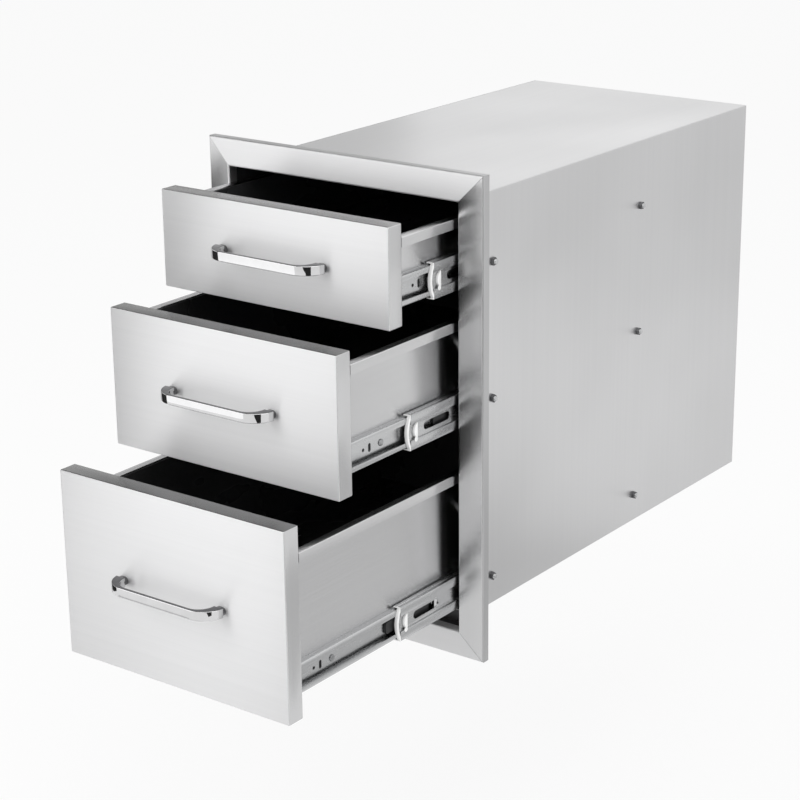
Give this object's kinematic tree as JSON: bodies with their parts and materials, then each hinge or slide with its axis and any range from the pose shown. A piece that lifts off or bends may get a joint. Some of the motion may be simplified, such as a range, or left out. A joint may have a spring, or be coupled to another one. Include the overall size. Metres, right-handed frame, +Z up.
{
  "type": "outdoor kitchen drawer unit",
  "caption": "Built-in stainless drawer unit with a mitred face frame, stacked double-walled drawers on ball-bearing slides and bowed pull handles.",
  "frame": {"origin": "middle of the island cut-out's lower edge, in the seat plane of the face frame", "axes": "+Z up, -Y the way the drawers open, +X to the right of someone facing the drawers"},
  "size_m": [0.3556, 0.8945, 0.5207],
  "materials": {
    "box_steel": "brushed upright",
    "frame_steel": "brushed along each rail",
    "front_steel": "brushed across",
    "drawer_steel": "fine satin",
    "slide_zinc": "bright zinc",
    "fastener_zinc": "bright zinc",
    "handle_chrome": "polished",
    "ball_steel": "polished",
    "black_liner": "satin black",
    "black_plastic": "matte black",
    "white_plastic": "white"
  },
  "bodies": {
    "cabinet": {"side_panel_left": "box_steel", "side_panel_right": "box_steel", "top_panel": "box_steel", "floor_panel": "box_steel", "back_panel": "box_steel", "sill_strip": "box_steel", "frame_top_rail": "frame_steel", "frame_bottom_rail": "frame_steel", "frame_left_rail": "frame_steel", "frame_right_rail": "frame_steel", "cabinet_slide_members": "slide_zinc", "slide_bolts": "fastener_zinc", "slide_nuts": "fastener_zinc", "sill_screws": "fastener_zinc"},
    "top_drawer": {"top_drawer_front": "front_steel", "top_drawer_front_panel": "box_steel", "top_drawer_sides": "drawer_steel", "top_drawer_back": "drawer_steel", "top_drawer_floor": "drawer_steel", "top_drawer_liner": "black_liner", "top_drawer_handle": "handle_chrome", "top_drawer_handle_screws": "fastener_zinc", "top_drawer_slide_members": "slide_zinc", "top_drawer_slide_rivets": "fastener_zinc", "top_drawer_release_levers": "black_plastic"},
    "top_intermediate_slide": {"top_intermediate_members": "slide_zinc", "top_slide_bumpers": "white_plastic"},
    "top_outer_cage": {"top_outer_ball_cages": "ball_steel"},
    "top_inner_cage": {"top_inner_ball_cages": "ball_steel"},
    "middle_drawer": {"middle_drawer_front": "front_steel", "middle_drawer_front_panel": "box_steel", "middle_drawer_sides": "drawer_steel", "middle_drawer_back": "drawer_steel", "middle_drawer_floor": "drawer_steel", "middle_drawer_liner": "black_liner", "middle_drawer_handle": "handle_chrome", "middle_drawer_handle_screws": "fastener_zinc", "middle_drawer_slide_members": "slide_zinc", "middle_drawer_slide_rivets": "fastener_zinc", "middle_drawer_release_levers": "black_plastic"},
    "middle_intermediate_slide": {"middle_intermediate_members": "slide_zinc", "middle_slide_bumpers": "white_plastic"},
    "middle_outer_cage": {"middle_outer_ball_cages": "ball_steel"},
    "middle_inner_cage": {"middle_inner_ball_cages": "ball_steel"},
    "bottom_drawer": {"bottom_drawer_front": "front_steel", "bottom_drawer_front_panel": "box_steel", "bottom_drawer_sides": "drawer_steel", "bottom_drawer_back": "drawer_steel", "bottom_drawer_floor": "drawer_steel", "bottom_drawer_liner": "black_liner", "bottom_drawer_handle": "handle_chrome", "bottom_drawer_handle_screws": "fastener_zinc", "bottom_drawer_slide_members": "slide_zinc", "bottom_drawer_slide_rivets": "fastener_zinc", "bottom_drawer_release_levers": "black_plastic"},
    "bottom_intermediate_slide": {"bottom_intermediate_members": "slide_zinc", "bottom_slide_bumpers": "white_plastic"},
    "bottom_outer_cage": {"bottom_outer_ball_cages": "ball_steel"},
    "bottom_inner_cage": {"bottom_inner_ball_cages": "ball_steel"}
  },
  "joints": [
    {"name": "top_drawer_slide", "type": "slide", "parent": "cabinet", "child": "top_drawer", "axis": [0, -1, 0], "range_m": [-0.109, 0.391]},
    {"name": "top_intermediate_travel", "type": "slide", "parent": "cabinet", "child": "top_intermediate_slide", "axis": [0, -1, 0], "range_m": [-0.06441, 0.23079]},
    {"name": "top_outer_cage_travel", "type": "slide", "parent": "cabinet", "child": "top_outer_cage", "axis": [0, -1, 0], "range_m": [-0.03225, 0.11545]},
    {"name": "top_inner_cage_travel", "type": "slide", "parent": "cabinet", "child": "top_inner_cage", "axis": [0, -1, 0], "range_m": [-0.08675, 0.31095]},
    {"name": "middle_drawer_slide", "type": "slide", "parent": "cabinet", "child": "middle_drawer", "axis": [0, -1, 0], "range_m": [-0.192, 0.308]},
    {"name": "middle_intermediate_travel", "type": "slide", "parent": "cabinet", "child": "middle_intermediate_slide", "axis": [0, -1, 0], "range_m": [-0.10512, 0.16858]},
    {"name": "middle_outer_cage_travel", "type": "slide", "parent": "cabinet", "child": "middle_outer_cage", "axis": [0, -1, 0], "range_m": [-0.05261, 0.08434]},
    {"name": "middle_inner_cage_travel", "type": "slide", "parent": "cabinet", "child": "middle_inner_cage", "axis": [0, -1, 0], "range_m": [-0.14861, 0.23834]},
    {"name": "bottom_drawer_slide", "type": "slide", "parent": "cabinet", "child": "bottom_drawer", "axis": [0, -1, 0], "range_m": [-0.2755, 0.2245]},
    {"name": "bottom_intermediate_travel", "type": "slide", "parent": "cabinet", "child": "bottom_intermediate_slide", "axis": [0, -1, 0], "range_m": [-0.12545, 0.10225]},
    {"name": "bottom_outer_cage_travel", "type": "slide", "parent": "cabinet", "child": "bottom_outer_cage", "axis": [0, -1, 0], "range_m": [-0.06278, 0.05117]},
    {"name": "bottom_inner_cage_travel", "type": "slide", "parent": "cabinet", "child": "bottom_inner_cage", "axis": [0, -1, 0], "range_m": [-0.20053, 0.16342]}
  ],
  "couplings": [
    {"joint": "top_intermediate_travel", "follows": "top_drawer_slide", "ratio": 0.59},
    {"joint": "top_outer_cage_travel", "follows": "top_drawer_slide", "ratio": 0.295},
    {"joint": "top_inner_cage_travel", "follows": "top_drawer_slide", "ratio": 0.795},
    {"joint": "middle_intermediate_travel", "follows": "middle_drawer_slide", "ratio": 0.547},
    {"joint": "middle_outer_cage_travel", "follows": "middle_drawer_slide", "ratio": 0.2735},
    {"joint": "middle_inner_cage_travel", "follows": "middle_drawer_slide", "ratio": 0.7735},
    {"joint": "bottom_intermediate_travel", "follows": "bottom_drawer_slide", "ratio": 0.455},
    {"joint": "bottom_outer_cage_travel", "follows": "bottom_drawer_slide", "ratio": 0.2275},
    {"joint": "bottom_inner_cage_travel", "follows": "bottom_drawer_slide", "ratio": 0.7275}
  ]
}
